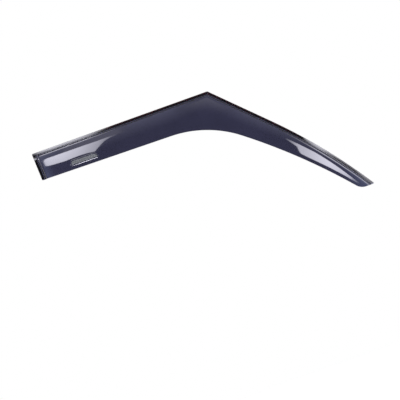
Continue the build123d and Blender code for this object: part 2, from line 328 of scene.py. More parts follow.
def pillar_sections():
    """Sections down the pillar, from the tip upwards, leaning over to lie along the cut end.

    A level rises from the cut. Below the top of the corner's arc the edge moves in, to where the arc is.
    """
    end_angle = angle_at_level(BEND_CENTRE, PILLAR_BEND_RADIUS, EDGE_RADIUS - TIP_DROP)
    end = PILLAR_STRAIGHT + np.radians(end_angle - PILLAR_ANGLE) * PILLAR_BEND_RADIUS
    distance = end - from_end(end + PEAK_CENTRE[0], PILLAR_SECTIONS)
    edge, turn = pillar_edge(distance)
    skew = (90 - end_angle) * ease(1 - (end - distance) / TIP_LEAN_RUN)
    level = edge[:, 1] + TIP_DROP
    radius = TIP_CORNER_RADIUS
    slant = np.radians(turn)
    on_arc = level < radius * (1 + np.cos(slant))
    arc = np.sqrt(np.maximum(radius**2 - (radius - level) ** 2, 0))
    sideways = np.where(on_arc, (radius - level) / np.tan(slant) + radius / np.sin(slant) - arc, 0)
    cut = sideways * np.cos(np.radians(skew))
    edge = edge - uphill(turn + skew) * sideways[:, None]
    return edge, turn, skew, FLANGE_WIDTH - cut


stretches = [pillar_sections()]
print("pillar from", stretches[0][0][0].round(1), "to", stretches[0][0][-1].round(1))

# %% Sections along roof and rear end, and all together
REAR_LEAN_RUN = 30.0
PEAK_SECTIONS = 16
ROOF_SECTIONS = 112
CORNER_SECTIONS = 26
REAR_SECTIONS = 44


def roof_sections():
    """Sections along the roof edge, from the peak rearwards."""
    forwards = np.linspace(PEAK_CENTRE[0], CORNER_CENTRE[0], ROOF_SECTIONS)
    level = np.zeros(ROOF_SECTIONS)
    return np.stack([forwards, level], -1), level, level, np.full(ROOF_SECTIONS, FLANGE_WIDTH)


def rear_sections():
    """Sections down the rear end, leaning over to lie along the lower edge, with the low corner rounded."""
    top = CORNER_CENTRE - REAR_FORWARD * FAN_GAP
    lean = REAR_LEAN + LOWER_DROOP
    rim = EDGE_RADIUS / np.cos(np.radians(lean))
    length = dot(REAR_LOW - top, REAR_DOWN) - rim
    down = length - from_end(length, REAR_SECTIONS)[::-1]
    skew = lean * ease(1 - (length - down) / REAR_LEAN_RUN)
    into_corner = np.clip(down - length - rim + REAR_CORNER_RADIUS, 0, REAR_CORNER_RADIUS)
    cut = REAR_CORNER_RADIUS - np.sqrt(REAR_CORNER_RADIUS**2 - into_corner**2)
    edge = top + REAR_DOWN * down[:, None] + REAR_FORWARD * cut[:, None]
    return edge, np.full(REAR_SECTIONS, REAR_TURN), skew, FLANGE_WIDTH - cut


stretches += [
    fan(PEAK_CENTRE, PILLAR_ANGLE, 0, PEAK_RADIUS, PEAK_SECTIONS),
    roof_sections(),
    fan(CORNER_CENTRE, 0, REAR_TURN, REAR_CORNER_RADIUS, CORNER_SECTIONS),
    rear_sections(),
]
edge, turn, skew, flange = (np.concatenate(parts) for parts in zip(*stretches))
inward = -uphill(turn + skew)
stretch = 1 / np.cos(np.radians(skew))
MAIN = PILLAR_SECTIONS + PEAK_SECTIONS + ROOF_SECTIONS
print(len(edge), "sections,", MAIN, "of them across the two arms")

# %% [markdown]
# ## Flange, wall and ridge
#
# In each section the outline of the moulding is the same drawing: a flat flange with a softened edge, a
# small bend up into a wall with seven degrees of draft, and a rounded ridge that runs out into the skin. The
# inner face is the same drawing again with its own radii, one wall thickness in. Bevels on a block could
# round these bends, but with a formula each radius is true and the ridge meets the skin without a step.

# %% Wall and ridge
WALL_DRAFT = 7.0
RIDGE_INNER_RADIUS = 1.6
WALL_RIDGE_RADIUS = RIDGE_INNER_RADIUS + BODY_THICKNESS
BEND_POINTS = 8
WALL_POINTS = 3
RIDGE_POINTS = 14
CORNER_TRIES = 5
draft = np.radians(WALL_DRAFT)
upright = np.pi / 2 - draft


def in_sections(distance):
    """Plan points at given distances in from the edge, measured square to it."""
    return edge[:, None] + inward[:, None] * (distance * stretch[:, None])[..., None]


def skin_in_sections(distance, depth):
    """Height of the skin at one distance in each section."""
    return skin(in_sections(distance[:, None]), depth)[:, 0]


def drawn(across, height):
    """Points of the sections' drawing: distance in from the edge, and height."""
    return np.stack(np.broadcast_arrays(across, height), -1)


def wall_and_ridge(foot, base, bend_radius, ridge_radius, depth):
    """Bend up from the flange, drafted wall, and an arc that touches both the wall and the skin."""
    bent = np.linspace(0, upright, BEND_POINTS)
    at_base = foot + base * np.tan(draft)
    bend_across = at_base[:, None] + bend_radius * (np.sin(bent) - np.tan(upright / 2))
    bend = drawn(bend_across, base + bend_radius * (1 - np.cos(bent)))

    corner = np.full(len(foot), RIDGE_HEIGHT)
    for _ in range(CORNER_TRIES):
        corner = skin_in_sections(foot + corner * np.tan(draft), depth)
    meeting = foot + corner * np.tan(draft)
    skin_angle = np.arctan2(skin_in_sections(meeting + ridge_radius, depth) - corner, ridge_radius)
    turned = upright - skin_angle
    back_off = ridge_radius * np.tan(turned / 2)
    centre_across = meeting - back_off * np.sin(draft) + ridge_radius * np.cos(draft)
    centre_height = corner - back_off * np.cos(draft) - ridge_radius * np.sin(draft)
    share = np.linspace(0, 1, RIDGE_POINTS)
    around = draft + turned[:, None] * share
    ridge_across = centre_across[:, None] - ridge_radius * np.cos(around)
    ridge_height = centre_height[:, None] + ridge_radius * np.sin(around)
    step = skin_in_sections(ridge_across[:, -1], depth) - ridge_height[:, -1]
    ridge = drawn(ridge_across, ridge_height + step[:, None] * share**2)

    between = np.linspace(0, 1, WALL_POINTS + 2)[1:-1, None]
    wall = bend[:, -1:] + (ridge[:, :1] - bend[:, -1:]) * between
    return np.concatenate([bend, wall, ridge], 1)


print("wall leans", WALL_DRAFT, "degrees, ridge radius", WALL_RIDGE_RADIUS, "mm outside")

# %% Borders of the two faces
FLANGE_THICKNESS = 1.6
ROOT_RADIUS = 1.6
BACK_RADIUS = 2.0
GLUE_LINE = 0.05
FLAT_POINTS = 10
FLAT_MARGIN = 0.008
EDGE_POINTS = 5
soft = np.linspace(0, np.pi / 2, EDGE_POINTS)


def front_border():
    """Softened outer edge, flat flange, wall and ridge of the outside."""
    rest = wall_and_ridge(flange, FLANGE_THICKNESS, ROOT_RADIUS, WALL_RIDGE_RADIUS, 0.0)
    rounded = drawn(EDGE_RADIUS * (1 - np.cos(soft)), FLANGE_THICKNESS - EDGE_RADIUS * (1 - np.sin(soft)))
    share = np.linspace(FLAT_MARGIN, 1 - FLAT_MARGIN, FLAT_POINTS - EDGE_POINTS)
    flat = drawn(EDGE_RADIUS + (rest[:, :1, 0] - EDGE_RADIUS) * share, FLANGE_THICKNESS)
    return np.concatenate([np.broadcast_to(rounded, (len(flange), EDGE_POINTS, 2)), flat, rest], 1)


def back_border():
    """Flat back of the flange, which takes the tape, then wall and ridge of the inside."""
    foot = flange + BODY_THICKNESS
    rest = wall_and_ridge(foot, GLUE_LINE, BACK_RADIUS, RIDGE_INNER_RADIUS, BODY_THICKNESS)
    flat = drawn(rest[:, :1, 0] * np.linspace(0, 1, FLAT_POINTS + 1)[:-1], GLUE_LINE)
    return np.concatenate([flat, rest], 1)


front_across, front_height = np.moveaxis(front_border(), -1, 0)
back_across, back_height = np.moveaxis(back_border(), -1, 0)
front_plan = in_sections(front_across)
back_plan = in_sections(back_across)
print("border grids", front_plan.shape[:2], "ridge up to", front_height[:MAIN].max().round(2), "mm")

# %% [markdown]
# ## The sheet between ridge and lower edge
#
# What is left is the skin itself. It is ruled: each section's line runs from the end of its ridge straight
# to the lower edge, and the formula lifts every point of that line to its height. A grid laid over the plan
# would be simpler, but its cells would not meet the ridge. The rearmost line is not straight, because it
# follows the ridge round the rear corner, so its bulge is let fade over the next few sections.

# %% Skin sheets, front and back
UNDER_PEAK_RUN = 84.0
UNDER_PEAK_SPREAD = 34.0
BULGE_RUN = 25.0

ROUND_RISE = TIP_ROUND_RADIUS - TIP_DROP - TAPER_CENTRE[1]
ROUND_START_ANGLE = np.degrees(np.arccos(ROUND_RISE / (TAPER_RADIUS + TIP_ROUND_RADIUS)))
ROUND_RUN = ARCH_RUN + np.radians(ROUND_START_ANGLE - ARCH_END_ANGLE) * TAPER_RADIUS
LOWER_END = ROUND_RUN + np.radians(ROUND_START_ANGLE) * TIP_ROUND_RADIUS
FAN_RUNS = UNDER_PEAK_RUN + UNDER_PEAK_SPREAD * np.array([-0.5, 0.5])


def lower_rim(run):
    """Just inside the lower edge and on round the tip's corner: points, and the way out of the part."""
    point, angle = lower_edge(np.minimum(run, ROUND_RUN))
    facing = angle - np.degrees(np.clip(run - ROUND_RUN, 0, None) / TIP_ROUND_RADIUS)
    point = point + TIP_ROUND_RADIUS * (uphill(angle) - uphill(facing))
    return point + uphill(facing) * EDGE_RADIUS, -uphill(facing)


def skin_sheet(border_plan, depth):
    """Ruled lines from the ridge to the lower edge, lifted to the skin's height, and the way out there."""
    ridge_end = border_plan[:MAIN, -1]
    rear_line = border_plan[MAIN - 1 :, -1]
    steps = np.linalg.norm(np.diff(ridge_end, axis=0), axis=1)
    from_rear = np.append(np.cumsum(steps[::-1])[::-1], 0.0)
    peak_first = from_rear[PILLAR_SECTIONS - 1]
    peak_last = from_rear[PILLAR_SECTIONS + PEAK_SECTIONS]
    rear_run = across_arm(rear_line[-1])[0]
    places = [0.0, peak_last, peak_first, from_rear[0]]
    low, outward = lower_rim(np.interp(from_rear, places, [rear_run, *FAN_RUNS, LOWER_END]))
    lengths = np.append(0.0, np.cumsum(np.linalg.norm(np.diff(rear_line, axis=0), axis=1)))
    share = (lengths / lengths[-1])[:, None]
    ruled = ridge_end[:, None] * (1 - share) + low[:, None] * share
    bulge = rear_line - ruled[-1]
    plan = ruled + bulge * (1 - ease(from_rear / BULGE_RUN))[:, None, None]
    return plan, skin(plan, depth), outward


front_sheet, front_level, outward = skin_sheet(front_plan, 0.0)
back_sheet, back_level, _ = skin_sheet(back_plan, BODY_THICKNESS)
print("skin sheets", front_sheet.shape[:2], "up to", front_level.max().round(2), "mm off the flange's back")

# %% [markdown]
# ## The rim
#
# The two faces are joined all round: along the thin side of the flange, across the tip, along the lower edge
# and across the foot of the rear end. Blender's Solidify could give a sheet its thickness, but here the wall
# is thicker than the flange, so the two faces differ. The front edge of the rim is softened, as a polished
# edge is, and the softening fades into the two rounded corners of the flange.

# %% Rim round the free ends


def along_rim(border, sheet):
    """One line round all free ends: across the tip, along the lower edge, across the rear end's foot."""
    return np.concatenate([border[0], sheet[0, 1:], sheet[1:, -1], border[-1, -2::-1]])


def rim_outward():
    """The way out along that line. It fades into the two rounded outer corners of the flange."""
    tip_count = front_plan.shape[1] + front_sheet.shape[1] - 1
    tip = np.tile(outward[0], (tip_count, 1))
    rear = np.tile(outward[-1], (front_plan.shape[1] - 1, 1))
    way = np.concatenate([tip, outward[1:], rear])
    line = along_rim(front_plan, front_sheet)
    for corner, radius in ((line[0], TIP_CORNER_RADIUS), (line[-1], REAR_CORNER_RADIUS)):
        arc_run = np.sqrt(radius**2 - (radius - EDGE_RADIUS) ** 2)
        way = way * np.minimum(np.linalg.norm(line - corner, axis=1) / arc_run, 1)[:, None]
    return way * EDGE_RADIUS


def rim_grid():
    """Round the front edge of the rim, then straight through the sheet to its back."""
    front = along_rim(front_plan, front_sheet)[:, None]
    back = along_rim(back_plan, back_sheet)[:, None]
    way = rim_outward()[:, None]
    plan = np.concatenate([front + way * np.sin(soft)[:, None], back + way, back], 1)
    front_rim = along_rim(front_height, front_level)[:, None] - EDGE_RADIUS * (1 - np.cos(soft))
    back_rim = along_rim(back_height, back_level)[:, None]
    return stand_up(plan, np.concatenate([front_rim, back_rim, back_rim], 1))


rim = rim_grid()
print("rim", rim.shape[:2])

# %% [markdown]
# ## Closing the moulding
#
# All grids become one mesh. They could stay apart, as nothing shows between them, but a closed body can be
# cut by a Boolean and lets light through as a solid does. Points that fall together are merged for that.
# Each point also keeps how much it belongs to the thin flange, which the material asks for later.

# %% From grids to a mesh
MERGE_DISTANCE = 2e-6
OUTSIDE, BONDED, INSIDE = range(3)


def grid_quads(rows, columns, start=0):
    """Corner numbers of every cell of a grid whose points are counted from start."""
    number = np.arange(rows * columns).reshape(rows, columns) + start
    return np.stack([number[:-1, :-1], number[1:, :-1], number[1:, 1:], number[:-1, 1:]], -1).reshape(-1, 4)


def mesh_of_grids(name, grids, polygons=()):
    """One mesh from polygons and from grids, each with a finish and a clear share.

    Points that fall together are merged, and faces are turned outwards.
    """
    points = []
    faces = []
    finishes = []
    shares = []
    for grid, finish, share in grids:
        quads = grid_quads(*grid.shape[:2], len(shares)).tolist()
        faces.extend(quads)
        finishes.extend([finish] * len(quads))
        points.append(grid.reshape(-1, 3))
        shares.extend(np.broadcast_to(share, grid.shape[:2]).ravel())
    for polygon in polygons:
        faces.append(list(range(len(shares), len(shares) + len(polygon))))
        finishes.append(OUTSIDE)
        points.append(polygon)
        shares.extend(np.zeros(len(polygon)))
    mesh = bpy.data.meshes.new(name)
    mesh.from_pydata(np.concatenate(points), [], faces)
    mesh.polygons.foreach_set("material_index", finishes)
    mesh.attributes.new("clear_share", "FLOAT", "POINT").data.foreach_set("value", shares)
    work = bmesh.new()
    work.from_mesh(mesh)
    bmesh.ops.remove_doubles(work, verts=work.verts, dist=MERGE_DISTANCE)
    bmesh.ops.recalc_face_normals(work, faces=work.faces)
    loose = sum(not item.is_manifold for item in work.edges)
    work.to_mesh(mesh)
    work.free()
    print(name, len(mesh.vertices), "points,", loose, "open edges")
    return mesh


def new_piece(name, data):
    """An object in the scene. A mesh stays at the origin, unturned, because its points say where it is."""
    piece = bpy.data.objects.new(name, data)
    bpy.context.scene.collection.objects.link(piece)
    return piece


print("points nearer than", MERGE_DISTANCE, "m are merged")

# %% One closed shell
CLEAR_EDGE = 5.4
CLEAR_FADE = 1.2


def clear_on(across):
    """Share of the thin clear flange in a point: all of it up to the tape's inner side, none at the wall."""
    return 1 - ease((across - CLEAR_EDGE) / CLEAR_FADE)


front_points = stand_up(front_plan, front_height)
back_points = stand_up(back_plan, back_height)
flange_side = np.stack([front_points[:, 0], back_points[:, 0]], 1)
rim_across = along_rim(front_across, np.full(front_sheet.shape[:2], FLANGE_WIDTH + CLEAR_FADE))
shell_grids = [
    (front_points, OUTSIDE, clear_on(front_across)),
    (back_points[:, :FLAT_POINTS], BONDED, clear_on(back_across[:, :FLAT_POINTS])),
    (flange_side, OUTSIDE, 1.0),
    (rim, OUTSIDE, clear_on(rim_across)[:, None]),
    (back_points[:, FLAT_POINTS - 1 :], INSIDE, 0.0),
    (stand_up(front_sheet, front_level), OUTSIDE, 0.0),
    (stand_up(back_sheet, back_level), INSIDE, 0.0),
]
rim_ends = [rim[0], rim[-1]]
shell = new_piece("smoked_shell", mesh_of_grids("smoked_shell", shell_grids, rim_ends))

# %% [markdown]
# ## The recess for the plate
#
# Near the rear lower corner a shallow recess takes a thin bare plate. It could be dug out with a sculpt
# brush, but a cutter that follows the skin half a millimetre down gives a floor of even depth. The cutter is
# a lens: rings that shrink from the recess outline to its middle, once on the floor and once above the skin.
# A sloped lip leads from the floor up to the skin, as moulded recesses have, and it is what catches the
# light below the plate.

# %% Cutter for the recess
BADGE_LENGTH = 68.0
BADGE_HEIGHT = 9.0
BADGE_NOSE_RADIUS = 12.0
BADGE_RAKE = 25.0
BADGE_CORNER_RADIUS = 1.2
BADGE_FROM_REAR = 80.0
BADGE_ABOVE_EDGE = 12.0
RECESS_MARGIN = 3.0
RECESS_DEPTH = 0.5
RECESS_SLOPE = 1.0
SLOPE_ABOVE = 0.4
CUTTER_HEIGHT = 3.0
ARC_POINTS = 14
RINGS = 9

badge_foot, badge_droop = lower_edge(np.array(BADGE_FROM_REAR - LOWER_STRAIGHT))
floor_depth = RECESS_DEPTH + GLUE_LINE


def plate_outline(margin):
    """Four arcs joined by lines: rear foot, front foot, round nose and raked rear top, moved out."""
    rake = np.radians(BADGE_RAKE)
    radius = BADGE_CORNER_RADIUS
    nose_run = np.sqrt(BADGE_NOSE_RADIUS**2 - (BADGE_NOSE_RADIUS - BADGE_HEIGHT) ** 2)
    nose = np.array([BADGE_LENGTH - nose_run, BADGE_HEIGHT - BADGE_NOSE_RADIUS])
    front_forwards = np.sqrt((BADGE_NOSE_RADIUS - radius) ** 2 - (radius - nose[1]) ** 2)
    front = np.array([nose[0] + front_forwards, radius])
    rear = np.array([radius * (1 + np.sin(rake)) / np.cos(rake), radius])
    high = BADGE_HEIGHT - radius
    rear_top = np.array([(radius + high * np.sin(rake)) / np.cos(rake), high])
    nose_start = np.arctan2(front[1] - nose[1], front[0] - nose[0])
    arcs = [
        (rear, radius, np.pi - rake, 1.5 * np.pi),
        (front, radius, -0.5 * np.pi, nose_start),
        (nose, BADGE_NOSE_RADIUS, nose_start, 0.5 * np.pi),
        (rear_top, radius, 0.5 * np.pi, np.pi - rake),
    ]
    loop = []
    for centre, size, first, last in arcs:
        angle = np.linspace(first, last, ARC_POINTS)
        loop.append(centre + (size + margin) * np.stack([np.cos(angle), np.sin(angle)], -1))
    loop = np.concatenate(loop)
    origin = badge_foot + uphill(badge_droop) * BADGE_ABOVE_EDGE
    return origin + loop[:, :1] * heading(badge_droop) + loop[:, 1:] * uphill(badge_droop)


def recess_cutter():
    """Rings from the middle out along the recess floor, up a lip past the skin, then back in above it."""
    loops = [plate_outline(RECESS_MARGIN - RECESS_SLOPE), plate_outline(RECESS_MARGIN + SLOPE_ABOVE)]
    floor_loop, lip_loop = (np.concatenate([loop, loop[:1]]) for loop in loops)
    middle = floor_loop[:-1].mean(0)
    size = np.linspace(0, 1, RINGS)[:, None, None]
    rings = middle + (floor_loop - middle) * size
    floor = stand_up(rings, skin(rings, floor_depth))
    lip = stand_up(lip_loop, skin(lip_loop) + floor_depth * SLOPE_ABOVE / RECESS_SLOPE)[None]
    above_rings = middle + (lip_loop - middle) * size[::-1]
    above = stand_up(above_rings, skin(above_rings) + CUTTER_HEIGHT)
    return np.concatenate([floor, lip, above])


cutter = new_piece("recess_cutter", mesh_of_grids("recess_cutter", [(recess_cutter(), OUTSIDE, 0.0)]))

# %% [markdown]
# ## Writing shader maths as plain sums
#
# A material is a tree of nodes. It could be wired node by node, but long trees of Math nodes are hard to
# read. This small class wraps an output socket, so that adding or multiplying two of them adds the node that
# does it.

# %% A socket that can be added and multiplied


class Shade:
    """One value in a node tree."""

    def __init__(self, tree, socket=None):
        self.tree = tree
        self.socket = socket

    def add(self, kind, inputs=None, out=0, **settings):
        """A new node: its settings are set first, then its sockets get values or links."""
        node = self.tree.nodes.new(kind)
        for name, value in settings.items():
            setattr(node, name, value)
        for name, value in (inputs or {}).items():
            if isinstance(value, Shade):
                self.tree.links.new(value.socket, node.inputs[name])
            else:
                node.inputs[name].default_value = value
        return Shade(self.tree, node.outputs[out] if node.outputs else None)

    def math(self, operation, first, second):
        """A Math node on two values."""
        return self.add("ShaderNodeMath", {0: first, 1: second}, operation=operation)

    def __add__(self, other):
        return self.math("ADD", self, other)

    __radd__ = __add__

    def __rsub__(self, other):
        return self.math("SUBTRACT", other, self)

    def __mul__(self, other):
        return self.math("MULTIPLY", self, other)

    __rmul__ = __mul__

    def mix(self, first, second):
        """Colour that goes from first to second as this value goes from 0 to 1."""
        return self.add("ShaderNodeMix", {0: self, 6: first, 7: second}, 2, data_type="RGBA")

    def between(self, low, high, at_low=0.0, at_high=1.0, kind="SMOOTHSTEP"):
        """From at_low to at_high as this value goes from low to high: softly, or evenly if LINEAR."""
        limits = {"Value": self, "From Min": low, "From Max": high, "To Min": at_low, "To Max": at_high}
        return self.add("ShaderNodeMapRange", limits, interpolation_type=kind)

    def place(self):
        """Where a shaded point lies in the frame of its piece."""
        return self.add("ShaderNodeTexCoord", None, "Object")

    def attribute(self, name):
        """A number that each point of the mesh carries."""
        return self.add("ShaderNodeAttribute", None, "Fac", attribute_name=name)

    def axis(self, letter):
        """One coordinate of this place or direction."""
        return self.add("ShaderNodeSeparateXYZ", {0: self}, letter)

    def squeezed(self, share, turn=0.0):
        """This place squeezed along X, which draws a pattern out along X, and then turned about Y."""
        return self.add("ShaderNodeMapping", {0: self, "Rotation": (0, turn, 0), "Scale": (share, 1, 1)})

    def noise(self, scale, detail=2.0, roughness=0.5):
        """Cloudy noise at this place."""
        inputs = {"Vector": self, "Scale": scale, "Detail": detail, "Roughness": roughness}
        return self.add("ShaderNodeTexNoise", inputs)

    def relief(self, strength, distance):
        """A normal for which this value is the height of the surface."""
        return self.add("ShaderNodeBump", {"Strength": strength, "Distance": distance, "Height": self})

    def surface(self, kind, inputs):
        """A shader of this kind, put out as the surface of the material."""
        self.add("ShaderNodeOutputMaterial", {"Surface": self.add(kind, inputs)})


def new_material(name):
    """An empty material and the start of its node tree."""
    material = bpy.data.materials.new(name)
    material.use_nodes = True
    material.node_tree.nodes.clear()
    return material, Shade(material.node_tree)


print("shader helper ready")

# %% [markdown]
# ## Smoked acrylic
#
# The moulding is clear acrylic dyed dark: light that gets through leaves a violet grey, and the surface is
# as glossy as glass. A black plastic would look right only from the front. A see-through shader with a dark
# tint also gets the thin flange right, which lets more light through, and the two ends, which get a paler
# dye as if they were thinner. Light crosses two faces, so the dye of both, which is the square of one, goes
# to the outer face, and the inner faces get next to none. The coat is more mirror-like than plain acrylic,
# because what it throws back has to stand out from what comes through. Under the two bright strips the
# flange is dyed darker, or grain would show there, but at the break in the tape it stays clear.

# %% The dye
BODY_TINT = (0.0335, 0.0330, 0.0700, 1.0)
THIN_TINT = (0.086, 0.097, 0.178, 1.0)
FLANGE_TINT = (0.32, 0.31, 0.38, 1.0)
CLEAR_TINT = (1.0, 1.0, 1.0, 1.0)
DARKER = (0.0, 0.0, 0.0, 1.0)
TINT_POWER = 2.0
THIN_AT_REAR = 36.0
THIN_BEGINS = (8.0, 13.0)
THIN_REAR_SHARES = (1.05, 0.3)
THIN_REAR_LEVELS = (-60.0, -12.0)
THIN_AT_TIP = 75.0
THIN_TIP_SHARE = 0.85
SHINY_REAR = (-300.0, -255.0)
SHINY_PILLAR = (165.0, 185.0)
SHINY_CLEAR_SHARE = 0.1
BREAK_FADE = 0.6


def body_dye(forwards, level):
    """Dark in the middle, paler towards the rear end and the tip."""
    rear = (PEAK_X - ROOF_LENGTH + FLANGE_WIDTH) * MM
    tip = cad_box[1][0]
    lower = level.between(*(place * MM for place in THIN_REAR_LEVELS), *THIN_REAR_SHARES)
    begins = forwards.between(*(rear + inset * MM for inset in THIN_BEGINS))
    thin_rear = forwards.between(rear, rear + THIN_AT_REAR * MM, 1.0, 0.0) * lower * begins
    thin_tip = forwards.between(tip - THIN_AT_TIP * MM, tip, 0.0, THIN_TIP_SHARE)
    return (thin_rear + thin_tip).mix(BODY_TINT, THIN_TINT)


def clear_flange(start, forwards, level):
    """Share of the flange's paler dye: little under the bright strips, all of it at the tape's break."""
    past_rear = forwards.between(*((PEAK_X + place) * MM for place in SHINY_REAR), SHINY_CLEAR_SHARE, 1.0)
    to_pillar = forwards.between(*((PEAK_X + place) * MM for place in SHINY_PILLAR), 1.0, SHINY_CLEAR_SHARE)
    kept = past_rear * to_pillar
    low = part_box("rear_liner")[1][2]
    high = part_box("corner_liner")[0][2]
    fade = BREAK_FADE * MM
    at_break = level.between(low - fade, low) * level.between(high, high + fade, 1.0, 0.0)
    return start.attribute("clear_share") * (kept + (1 - kept) * at_break)


print("dye of body, thin ends and flange:", BODY_TINT[:3], THIN_TINT[:3], FLANGE_TINT[:3])

# %% [markdown]
# ## Finishes of the acrylic
#
# Real sheets are never quite even, so the tint drifts a little, the gloss has faint wiping marks and dust,
# and the surface has a slow ripple from the mould. One even material would be simpler, but it would look
# drawn. Where tape is bonded to the back of the flange, glue wets the surface and takes its shine, so those
# faces hardly slow the light. The floor of the recess is duller. All four finishes are one recipe with other
# numbers.

# %% Four finishes of the acrylic
COAT_IOR = 2.2
ACRYLIC_IOR = 1.49
BONDED_IOR = 1.03
DRIFT_SCALE = 9.0
DRIFT_RANGE = (0.35, 0.7, 0.0, 0.12)
CLEAR_DRIFT = 0.3
WIPE_SQUEEZE = 0.12
WIPE_TURN = 0.35
WIPE_NOISE = (420.0, 4.0, 0.6)
WIPE_RANGE = (0.45, 0.75)
DUST_NOISE = (60.0, 3.0)
DUST_RANGE = (0.5, 0.8)
RIPPLE_DETAIL = 1.0
SLOW_RIPPLE = (45.0, 0.000003)
GLUE_RIPPLE = (300.0, 0.00001)
RECESS_RIPPLE = (300.0, 0.000005)


def smoked_acrylic(name, ripple, gloss, spread, ior=ACRYLIC_IOR, coat=1.0, dyed=True):
    """Dye that drifts a little, gloss with wiping marks and dust, and a rippled normal."""
    material, start = new_material(name)
    where = start.place()
    drift = where.noise(DRIFT_SCALE).between(*DRIFT_RANGE)
    if dyed:
        forwards = where.axis("X")
        level = where.axis("Z")
        dye = clear_flange(start, forwards, level).mix(body_dye(forwards, level), FLANGE_TINT)
        colour = drift.mix(dye, DARKER)
    else:
        colour = (drift * CLEAR_DRIFT).mix(CLEAR_TINT, DARKER)
    marks = where.squeezed(WIPE_SQUEEZE, WIPE_TURN).noise(*WIPE_NOISE).between(*WIPE_RANGE)
    dust = where.noise(*DUST_NOISE).between(*DUST_RANGE)
    ripple_scale, ripple_height = ripple
    inputs = {
        "Base Color": start.add("ShaderNodeGamma", {"Color": colour, "Gamma": TINT_POWER}),
        "Roughness": gloss + marks * spread + dust * spread,
        "Normal": where.noise(ripple_scale, RIPPLE_DETAIL).relief(1.0, ripple_height),
        "IOR": ior,
        "Transmission Weight": 1.0,
        "Coat Weight": coat,
        "Coat Roughness": gloss,
        "Coat IOR": COAT_IOR,
    }
    start.surface("ShaderNodeBsdfPrincipled", inputs)
    return material


plain = {"coat": 0.0, "dyed": False}
glued = plain | {"ior": BONDED_IOR}
gloss_acrylic = smoked_acrylic("gloss_acrylic", SLOW_RIPPLE, gloss=0.03, spread=0.02)
bonded_acrylic = smoked_acrylic("bonded_acrylic", GLUE_RIPPLE, gloss=0.2, spread=0.05, **glued)
inner_acrylic = smoked_acrylic("inner_acrylic", SLOW_RIPPLE, gloss=0.04, spread=0.02, **plain)
recess_acrylic = smoked_acrylic("recess_acrylic", RECESS_RIPPLE, gloss=0.07, spread=0.03)
print("materials:", gloss_acrylic.name, bonded_acrylic.name, inner_acrylic.name, recess_acrylic.name)

# %% [markdown]
# ## Putting the recess into the shell
#
# A Boolean takes the cutter out of the shell and carries the cutter's finish to the new faces, so the recess
# is a little duller than the skin around it. The same could be painted on, but then the lip would have no
# slope to catch light. The Boolean also makes up a clear share for the new points, which would brighten the
# recess like the flange, so it is set back to none. Edges sharper than about a quarter of a right angle stay
# crisp, and everything else is shaded as one smooth surface.

# %% Boolean, then smooth shading
SHARP_ANGLE = 24.0


def column(items, name, kind):
    """One property of every item, as an array."""
    values = np.empty(len(items), kind)
    items.foreach_get(name, values)
    return values


for finish in (gloss_acrylic, bonded_acrylic, inner_acrylic):
    shell.data.materials.append(finish)
cutter.data.materials.append(recess_acrylic)
cut = shell.modifiers.new("recess", "BOOLEAN")
cut.operation = "DIFFERENCE"
cut.solver = "EXACT"
cut.material_mode = "TRANSFER"
cut.object = cutter
whole = shell.evaluated_get(bpy.context.evaluated_depsgraph_get())
cut_mesh = bpy.data.meshes.new_from_object(whole)
shell.modifiers.clear()
shell.data = cut_mesh
bpy.data.objects.remove(cutter)
recess_slot = cut_mesh.materials.find(recess_acrylic.name)
in_recess = column(cut_mesh.polygons, "material_index", np.int32) == recess_slot
corner_counts = column(cut_mesh.polygons, "loop_total", np.int32)
corner_points = column(cut_mesh.loops, "vertex_index", np.int32)
clear_share = cut_mesh.attributes["clear_share"].data
shares = column(clear_share, "value", np.float32)
shares[corner_points[np.repeat(in_recess, corner_counts)]] = 0.0
clear_share.foreach_set("value", shares)
cut_mesh.polygons.foreach_set("use_smooth", np.ones(len(cut_mesh.polygons), bool))
cut_mesh.set_sharp_from_angle(angle=np.radians(SHARP_ANGLE))
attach(shell, "root")
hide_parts("visor_shell")
print("shell", len(cut_mesh.polygons), "faces,", in_recess.sum(), "of them in the recess")

# %% [markdown]
# ## Tape, film and plate
#
# Under the flange runs foam tape, about a millimetre thick, with a red film that is peeled off when the part
# is fitted. Through the smoked flange it shows as a black maroon band. The small plate is satin metal with a
# bevelled front edge, and it is left bare. All of them could be built anew, but their CAD solids have the
# right shape, so they only get finishes: the foam is a fine mass of bubbles, the film is smooth with faint
# stretch lines along it, and the brushing of the plate runs along its length. What they share is a pattern
# and a slow clouding in the colour, with the pattern in the relief too.

# %% Foam tape, red film and satin plate
BUBBLE_SCALE = 2600.0
FOAM_CLOUDS = (220.0, 3.0)
FOAM = {
    "colours": ((0.09, 0.010, 0.016, 1.0), (0.20, 0.028, 0.036, 1.0)),
    "shares": (0.6, 0.5),
    "limits": (0.2, 0.9),
    "roughness": (0.55, 0.2),
    "relief": (0.5, 0.0001),
    "IOR": 1.47,
}
FILM_SQUEEZE = 0.25
FILM_LINES = (500.0, 3.0)
FILM_CLOUDS = 40.0
FILM = {
    "colours": ((0.50, 0.012, 0.018, 1.0), (0.66, 0.05, 0.05, 1.0)),
    "shares": (0.5, 0.5),
    "limits": (0.3, 0.75),
    "roughness": (0.22, 0.15),
    "relief": (0.4, 0.00005),
    "IOR": 1.5,
}
BRUSH_SQUEEZE = 0.03
BRUSH_LINES = (3200.0, 4.0, 0.7)
PLATE_CLOUDS = 90.0
PLATE = {
    "colours": ((0.20, 0.21, 0.22, 1.0), (0.29, 0.30, 0.32, 1.0)),
    "shares": (0.7, 0.3),
    "limits": (0.3, 0.7),
    "roughness": (0.28, 0.1),
    "relief": (0.12, 0.00001),
    "Metallic": 0.5,
}


